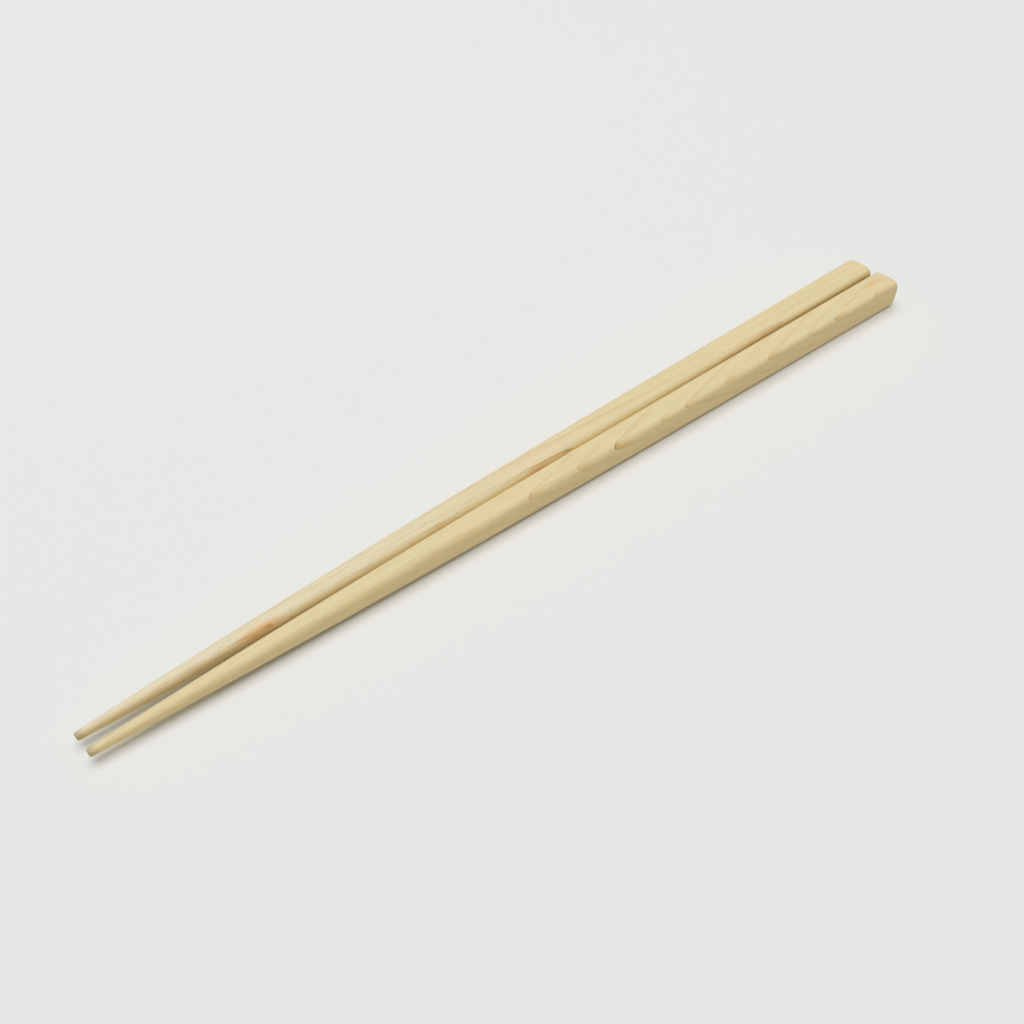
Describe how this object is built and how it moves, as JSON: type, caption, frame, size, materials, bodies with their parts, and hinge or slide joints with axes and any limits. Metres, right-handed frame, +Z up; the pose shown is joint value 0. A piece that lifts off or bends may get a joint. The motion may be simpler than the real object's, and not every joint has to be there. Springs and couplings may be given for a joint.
{
  "type": "pair of wooden chopsticks",
  "caption": "Long square wooden cooking chopsticks with rounded edges, slim curved blades, blunt round tips and softly domed butts, lying side by side for picking up and turning food.",
  "frame": {"origin": "on the table, under the centre of the pair's bounding box", "axes": "+X along the sticks from the tips to the butts, +Y from the front stick to the back stick, +Z up"},
  "size_m": [0.3004, 0.0212, 0.01],
  "materials": {
    "bare_wood": "smooth sanded, unvarnished pale hardwood"
  },
  "bodies": {
    "root": {"front_chopstick": "bare_wood", "back_chopstick": "bare_wood"}
  },
  "joints": []
}
